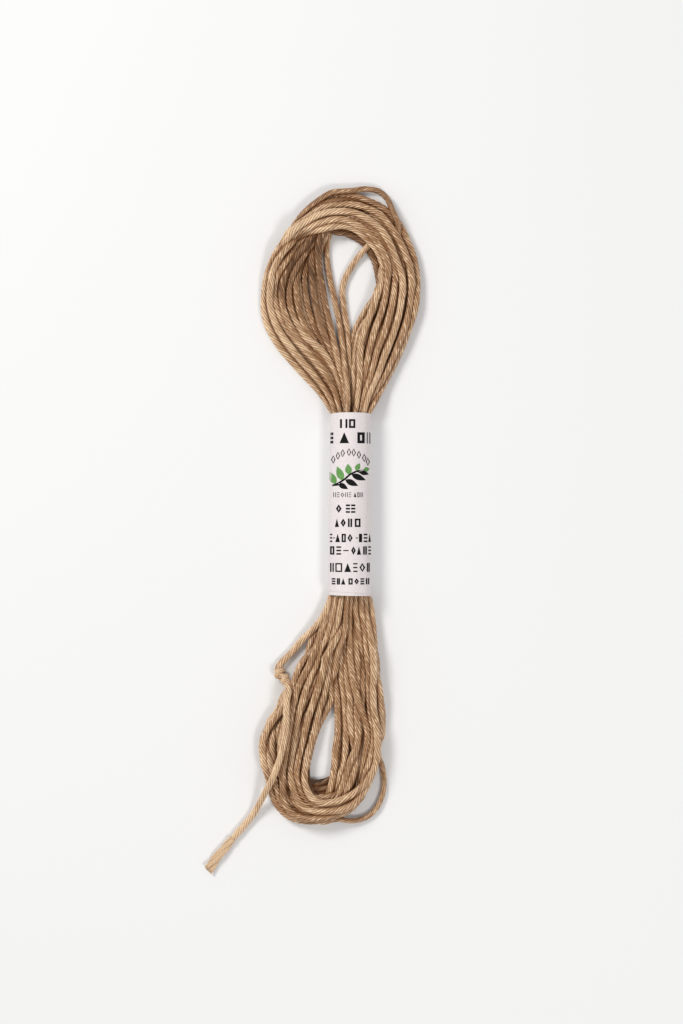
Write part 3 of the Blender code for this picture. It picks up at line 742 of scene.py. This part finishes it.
for round_number in range(rounds):
    if round_number % 10 == 0:
        first, second = near_pairs()
    ahead = np.zeros_like(spot)
    ahead[1:-1] = spot[2:] - spot[:-2]
    ahead /= np.linalg.norm(ahead, axis=1)[:, None] + 1e-9
    spot[:steady, 2] -= sink
    gap = spot[second] - spot[first]
    line_up = np.abs((ahead[first] * ahead[second]).sum(1))
    slide = (gap * ahead[first]).sum(1)
    gap = gap - np.where(line_up > side_by_side, slide, 0)[:, None] * ahead[first]
    apart = np.linalg.norm(gap, axis=1) + 1e-6
    middle = (spot[first, 1] + spot[second, 1]) / 2
    need = thread_room * pinch(middle) - apart
    need = np.where((need > 0) & (np.abs(slide) < 0.8), need, 0)
    need = np.where((need > 0) | (line_up > side_by_side), need, 0)
    push = gap / apart[:, None] * (push_share * need)[:, None]
    for axis in range(3):
        move = np.bincount(second, push[:, axis], len(spot))
        move -= np.bincount(first, push[:, axis], len(spot))
        spot[:steady, axis] += np.clip(move, -longest_move, longest_move)[:steady]
    free = np.minimum(1, grip)[:, None]
    spot[:steady, :2] += free * (home[:, :2] - spot[:steady, :2])
    mean = (spot[inner - 1] + spot[inner + 1]) / 2 - spot[inner]
    mean[:, :2] *= np.where(np.abs(spot[inner, 1]) < 29, 1.0, 0.35)[:, None]
    spot[inner] += smooth_share * mean
    inside = np.flatnonzero(np.abs(spot[:steady, 1]) < band_half)
    wide = 3.42 - 0.11 * (spot[inside, 1] / band_half + 1)
    x, z = spot[inside, 0], spot[inside, 2] - mouth_middle
    over = np.sqrt((x / wide) ** 2 + (z / mouth_high) ** 2)
    scale = np.where(over > 1, 1 / np.maximum(over, 1e-6), 1)
    spot[inside, 0] = x * scale
    spot[inside, 2] = z * scale + mouth_middle
    spot[:steady, 2] = np.maximum(spot[:steady, 2], table_gap)
    spot[:steady][fixed] = home[fixed]

# ---- Wound threads -----------------------------------------------------------------------
# The settled turns, as seven-ply silk floss like the tail. Stray turns that hang free are
# a little thinner. Each loop's turns are two pieces: the ones seen most are on top, and
# the others are the upper loop's left flank and the turns under the lower loop.

# The facets of a ply, the seed, and the spacing of a thread's rings in millimetres.
piece_details = {
    "upper_turns_top": (4, 35, 0.5), "upper_turns_flank": (4, 37, 0.5),
    "lower_turns_top": (4, 35, 0.5), "lower_turns_under": (3, 37, 0.75),
}
stray_share = {9: 0.86, 10: 0.86, 17: 0.82, 35: 0.76}


def piece_of(number):
    """The piece that a turn belongs to, by its place in the pile."""
    if number in (3, 4, 5, 6, 7, 8, 9, 10, 16):
        return "upper_turns_flank"
    if number < len(upper_turns):
        return "upper_turns_top"
    if number < len(upper_turns) + 10 or number == 35:
        return "lower_turns_top"
    return "lower_turns_under"


def painted_light_and_tone(number, x, y):
    """How much lighter a turn is painted along its length, or darker where it is below 0: painted
    highlights and painted shade, and a paler slack bulge.
    """
    # Painted light on the upper loop's left flank, painted shade on the turns behind its top.
    light_and_tone_shift = 0.16 * rise(x, -4, -10) * rise(y, 49, 40) * (y > 18)
    if number in (0, 1, 17):
        light_and_tone_shift -= 0.22 * rise(y, 53, 56)
    # Painted shade on the inner turns under the roll, and a painted highlight on the roll.
    if number in (3, 4, 5, 6, 7, 8):
        light_and_tone_shift -= 0.44 * rise(y, 29, 43)
    if 11 <= number <= 15:
        light_and_tone_shift += 0.12 * rise(y, 48, 52) * rise(x, 3, -3)
    # Painted shade in the deep foot of the lower loop's hole; the slack bulge at its left is paler.
    if number in (22, 28, 29, 30, 32, 34):
        light_and_tone_shift -= 0.62 * (np.abs(x + 6.0) < 3.4) * (y < -51) * (y > -56.4)
    if 23 <= number <= 26:
        light_and_tone_shift += 0.16 * rise(x, -11, -13) * rise(y, -54, -50)
    return light_and_tone_shift


crowd = (tree_of(spot), spot, owner)
rng = np.random.default_rng(11)
wound = {name: [] for name in piece_details}
for number, (start, end) in enumerate(zip(starts, ends)):
    name = piece_of(number)
    line = even_line(spot[start:end + 1], piece_details[name][2])
    uneven = 1 + 0.03 * slow_wave(rng, distance_along(line), 30)[0]
    thin = stray_share.get(number, 1.0)
    radius = thread_width / 2 * thin * pinch(line[:, 1]) * uneven
    # A turn's own tone, with the painted light and shade laid along it.
    tone = 0.49 + rng.normal(0, 0.05) + painted_light_and_tone(number, line[:, 0], line[:, 1])
    wound[name].append((line * 0.001, radius, tone, number))
for name, runs in wound.items():
    facets, seed, _ = piece_details[name]
    piece = spin_threads(name, runs, facets, seed, crowd)
    piece.data.materials.append(silk_thread)
    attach(piece, "root")
    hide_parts("floss_skein")

# ---- Paper band --------------------------------------------------------------------------
# A strip of thin pinkish paper, wound nearly twice round the waist and pasted to itself
# underneath. The second winding lies a little askew, so the first shows at the lower end.

paper = 0.00013
band_end = 0.0176
oval_wide, oval_high, oval_middle = 0.00412, 0.00357, 0.0033
upper_edge, lower_edge = 0.01735, -0.01745
lap = paper * 1.2


def pressed(turn, y):
    """How the threads underneath show through the paper."""
    return 0.00003 * math.sin(turn * 9) * (0.4 + 0.6 * (y / band_end) ** 2)


def narrow(y):
    """The band tapers a little upwards: its share of the full width, and its middle."""
    share = (y / band_end + 1) / 2
    return 1.015 - 0.075 * share, -0.00020 * (1 - share)


def on_band(x, y, lift):
    """The place over x on the upper half of the band, lifted off the paper."""
    taper = narrow(y)
    angle = math.asin(max(-0.999, min(0.999, (x - taper[1]) / (oval_wide * taper[0]))))
    lift = lift + pressed(angle, y)
    height = oval_middle + (oval_high + lift) * math.cos(angle)
    return Vector(((oval_wide + lift) * math.sin(angle) * taper[0] + taper[1], y, height))


wraps = np.radians(np.arange(-176, 509, 4.0))
rows = np.linspace(-1, 1, 37)
strip, strip_faces = [], []
for turn in wraps:
    second = rise(turn, 2.6, 3.05)
    high = upper_edge + 0.00025 * max(0, math.cos(turn)) - 0.0003 * (1 - second)
    askew = (0.00062 - 0.00018 * math.sin(turn)) * second
    low = lower_edge - 0.00010 * math.sin(turn) + askew
    under = lap * (1 - second)
    for share in rows:
        y = low + (high - low) * (share + 1) / 2
        press = pressed(turn, y)
        x = (oval_wide - under + press) * math.sin(turn) * narrow(y)[0] + narrow(y)[1]
        z = oval_middle + (oval_high - under + press) * math.cos(turn)
        strip.append((x, y, max(z, 0.00002 + under)))
for i in range(len(wraps) - 1):
    for k in range(len(rows) - 1):
        a = i * len(rows) + k
        strip_faces.append((a, a + len(rows), a + 1 + len(rows), a + 1))
wrap_mesh = bpy.data.meshes.new("band_wrap")
wrap_mesh.from_pydata(strip, [], strip_faces)
wrap = bpy.data.objects.new("band_wrap", wrap_mesh)
bpy.context.scene.collection.objects.link(wrap)
bpy.ops.object.select_all(action="DESELECT")
bpy.context.view_layer.objects.active = wrap
wrap.select_set(True)
thick = wrap.modifiers.new("thickness", "SOLIDIFY")
thick.thickness = paper
thick.offset = -1.0
bpy.ops.object.modifier_apply(modifier="thickness")
bpy.ops.object.shade_smooth_by_angle(angle=math.radians(40))

stock, tree, shader = new_finish("band_paper")
place = tree.nodes.new("ShaderNodeTexCoord").outputs["Object"]
pulp = mottle(tree, place, 2600.0, 6.0).outputs["Fac"]
tint = colour_steps(tree, pulp, (0.3, (0.73, 0.665, 0.655)), (0.7, (0.81, 0.75, 0.745)))
tree.links.new(tint, shader.inputs["Base Color"])
raise_surface(tree, pulp, 0.25, 0.00003, shader)
shader.inputs["Roughness"].default_value = 0.62
wrap.data.materials.append(stock)
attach(wrap, "root")
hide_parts("paper_band")

# ---- Print on the band -------------------------------------------------------------------
# One printing of black ink and one of green: rows of plain marks, an arc of small gems and
# a sprig of leaves. There is no lettering. The ink is a thin film that follows the paper.

film_lift = 0.000005
bend_step = 0.3
gem_across, gem_high, gem_pen = 0.84, 1.56, 0.15


def block(x0, y0, x1, y1):
    """A solid oblong."""
    return [[(x0, y0), (x1, y0), (x1, y1), (x0, y1)]]


def frame_mark(x0, y0, x1, y1, pen):
    """An oblong drawn with a pen, open in the middle."""
    left, low, right, high = x0 + pen, y0 + pen, x1 - pen, y1 - pen
    return block(x0, y0, x1, y1) + [[(left, low), (left, high), (right, high), (right, low)]]


def peak(x0, y0, x1, y1, pen):
    """A solid triangle."""
    return [[(x0, y0), (x1, y0), ((x0 + x1) / 2, y1)]]


def gem(x0, y0, x1, y1, pen):
    """A square stood on its corner, open in the middle."""
    a, b = (x0 + x1) / 2, (y0 + y1) / 2
    slant = pen * 1.3
    return [[(x0, b), (a, y0), (x1, b), (a, y1)],
            [(x0 + slant, b), (a, y1 - slant), (x1 - slant, b), (a, y0 + slant)]]


def bars(x0, y0, x1, y1, pen):
    """Two upright strokes."""
    return block(x0, y0, x0 + pen, y1) + block(x1 - pen, y0, x1, y1)


def steps(x0, y0, x1, y1, pen):
    """Three level strokes."""
    a, b = (y0 + y1) / 2 - pen / 2, (y0 + y1) / 2 + pen / 2
    return block(x0, y0, x1, y0 + pen) + block(x0, a, x1, b) + block(x0, y1 - pen, x1, y1)


def leaf(x, y, angle, length, width):
    """A pointed leaf that grows from its foot at the given angle."""
    foot = np.array([x, y])
    along = np.array([math.cos(math.radians(angle)), math.sin(math.radians(angle))])
    over = np.array([-along[1], along[0]])
    share = np.linspace(0, 1, 9)
    half = width / 2 * np.sin(math.pi * share ** 0.8)
    edge = [tuple(foot + along * length * s + over * h) for s, h in zip(share, half)]
    back = [tuple(foot + along * length * s - over * h) for s, h in zip(share, half)]
    return [edge + back[-2:0:-1]]


def print_ink(name, outlines, color, film):
    """Flat outlines in millimetres, bent round the band as a film of ink."""
    curve = bpy.data.curves.new(name, "CURVE")
    curve.dimensions = "2D"
    curve.fill_mode = "BOTH"
    for outline in outlines:
        spline = curve.splines.new("POLY")
        spline.points.add(len(outline) - 1)
        for point, (x, y) in zip(spline.points, outline):
            point.co = (x, y, 0, 1)
        spline.use_cyclic_u = True
    flat = bpy.data.objects.new(name, curve)
    bpy.context.scene.collection.objects.link(flat)
    bpy.ops.object.select_all(action="DESELECT")
    bpy.context.view_layer.objects.active = flat
    flat.select_set(True)
    bpy.ops.object.convert(target="MESH")
    ink = bpy.context.object
    bpy.ops.object.mode_set(mode="EDIT")
    for cut_at in np.arange(-3.9, 4.0, bend_step):
        bpy.ops.mesh.select_all(action="SELECT")
        bpy.ops.mesh.bisect(plane_co=(float(cut_at), 0, 0), plane_no=(1, 0, 0))
    bpy.ops.object.mode_set(mode="OBJECT")
    for corner in ink.data.vertices:
        corner.co = on_band(corner.co.x * 0.001, corner.co.y * 0.001, film + film_lift)
    thick = ink.modifiers.new("film", "SOLIDIFY")
    thick.thickness = film
    thick.offset = -1.0
    bpy.ops.object.modifier_apply(modifier="film")
    dye, tree, shader = new_finish(name)
    place = tree.nodes.new("ShaderNodeTexCoord").outputs["Object"]
    speck = mottle(tree, place, 3500.0, 4.0).outputs["Fac"]
    worn_ink = [c * 1.5 + 0.006 for c in color]
    cover = colour_steps(tree, speck, (0.35, worn_ink), (0.65, color))
    tree.links.new(cover, shader.inputs["Base Color"])
    shader.inputs["Roughness"].default_value = 0.6
    shader.inputs["Specular IOR Level"].default_value = 0.06
    ink.data.materials.append(dye)
    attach(ink, "root")


rows_of_marks = (
    (14.6, 16.3, 0.38, (bars, -2.0, -0.6), (frame_mark, -0.3, 0.9)),
    (11.7, 13.8, 0.52, (steps, -3.85, -3.3), (peak, -2.1, -0.3), (frame_mark, 1.3, 2.7),
     (bars, 3.1, 3.8)),
    (1.4, 2.3, 0.12, (bars, -3.3, -2.8), (steps, -2.6, -2.1), (gem, -1.9, -1.2),
     (bars, -1.0, -0.5), (steps, -0.3, 0.1), (peak, 0.6, 1.1), (frame_mark, 1.3, 1.7),
     (bars, 1.9, 2.3)),
    (-1.6, 0.0, 0.33, (gem, -2.8, -1.7), (steps, -0.9, -0.1), (steps, 0.1, 0.9)),
    (-4.3, -2.7, 0.33, (peak, -3.0, -2.2), (gem, -1.9, -0.9), (bars, -0.5, 0.3),
     (frame_mark, 0.8, 1.9)),
    (-7.2, -5.6, 0.30, (steps, -3.9, -3.5), (peak, -2.9, -2.0), (frame_mark, -1.7, -0.9),
     (gem, -0.6, 0.4), (bars, 1.6, 2.2), (steps, 2.5, 3.2), (peak, 3.4, 3.9)),
    (-9.6, -8.0, 0.30, (frame_mark, -3.9, -3.1), (steps, -2.7, -1.8), (gem, 0.1, 1.0),
     (peak, 1.2, 2.0), (bars, 2.4, 3.1), (steps, 3.4, 3.9)),
    (-12.9, -11.2, 0.26, (bars, -3.9, -3.2), (frame_mark, -2.9, -1.6), (peak, -1.2, 0.1),
     (steps, 0.5, 1.3), (gem, 1.7, 2.8), (bars, 3.1, 3.7)),
    (-15.3, -14.1, 0.28, (steps, -3.6, -2.9), (bars, -2.6, -2.0), (peak, -1.8, -1.0),
     (frame_mark, -0.4, 0.4), (gem, 0.7, 1.6), (steps, 1.9, 2.6), (bars, 2.9, 3.6)),
)
black = []
for low, high, pen, *marks in rows_of_marks:
    for kind, left, right in marks:
        black += kind(left, low, right, high, pen)
for dash in ((-3.3, -6.5, -3.0, -6.3), (1.0, -6.5, 1.4, -6.3), (-1.4, -8.9, -0.4, -8.7)):
    black += block(*dash)
for x, y in ((-3.3, 8.6), (-2.4, 9.3), (-1.5, 9.8), (-0.3, 10.0),
             (0.6, 9.9), (1.6, 9.5), (2.6, 8.9), (3.3, 8.2)):
    black += gem(x - gem_across / 2, y - gem_high / 2, x + gem_across / 2, y + gem_high / 2, gem_pen)
black += [[(-3.5, 3.5), (-2.2, 3.9), (-1.0, 4.7), (0.0, 5.6), (1.2, 6.2), (2.6, 6.5), (2.6, 6.7),
           (1.1, 6.5), (-0.2, 5.9), (-1.2, 5.0), (-2.4, 4.2), (-3.5, 3.8)]]
for shape in ((-2.3, 4.0, -30, 2.1, 1.05), (-1.0, 4.7, -25, 2.7, 1.15),
              (0.2, 5.7, -21, 2.9, 1.15), (1.6, 6.3, -15, 2.0, 0.9)):
    black += leaf(*shape)
green = []
for shape in ((-2.8, 3.9, 118, 2.7, 1.3), (-1.5, 4.6, 112, 2.9, 1.4), (-0.3, 5.7, 96, 2.1, 1.3),
              (1.0, 6.5, 60, 1.6, 1.0), (2.5, 6.6, 12, 1.2, 0.9)):
    green += leaf(*shape)
print_ink("print_black", black, (0.006, 0.0055, 0.006), 0.00002)
print_ink("print_green", green, (0.11, 0.25, 0.075), 0.000014)

# ---- Floor and light ---------------------------------------------------------------------
# A plain white table top. A round soft light hangs at the upper left, a weaker one at the
# lower right lifts the shadows, and a pale even sky does the rest.

bpy.ops.object.select_all(action="DESELECT")
bpy.ops.mesh.primitive_plane_add(size=3.0, location=(0, 0, -0.00002))
floor = bpy.context.object
floor.name = "floor"
white, tree, shader = new_finish("white_table")
shader.inputs["Base Color"].default_value = (0.86, 0.86, 0.86, 1)
shader.inputs["Roughness"].default_value = 0.85
shader.inputs["Specular IOR Level"].default_value = 0.1
floor.data.materials.append(white)


def hang_light(name, width, power, color, place):
    """A round soft light that points at the middle of the band."""
    data = bpy.data.lights.new(name, "AREA")
    data.shape = "DISK"
    data.size = width
    data.energy = power
    data.color = color
    light = bpy.data.objects.new(name, data)
    light.location = place
    light.rotation_euler = (-Vector(place)).to_track_quat("-Z", "Y").to_euler()
    bpy.context.scene.collection.objects.link(light)


hang_light("key", 0.24, 2.75, (1.0, 0.985, 0.96), (-0.35, 0.31, 0.53))
hang_light("fill", 0.16, 1.0, (1.0, 0.97, 0.93), (0.20, -0.26, 0.50))

sky = bpy.data.worlds.new("sky")
sky.use_nodes = True
sky.node_tree.nodes["Background"].inputs["Color"].default_value = (0.95, 0.97, 1.0, 1)
sky.node_tree.nodes["Background"].inputs["Strength"].default_value = 0.465
bpy.context.scene.world = sky
bpy.context.scene.view_settings.view_transform = "Standard"
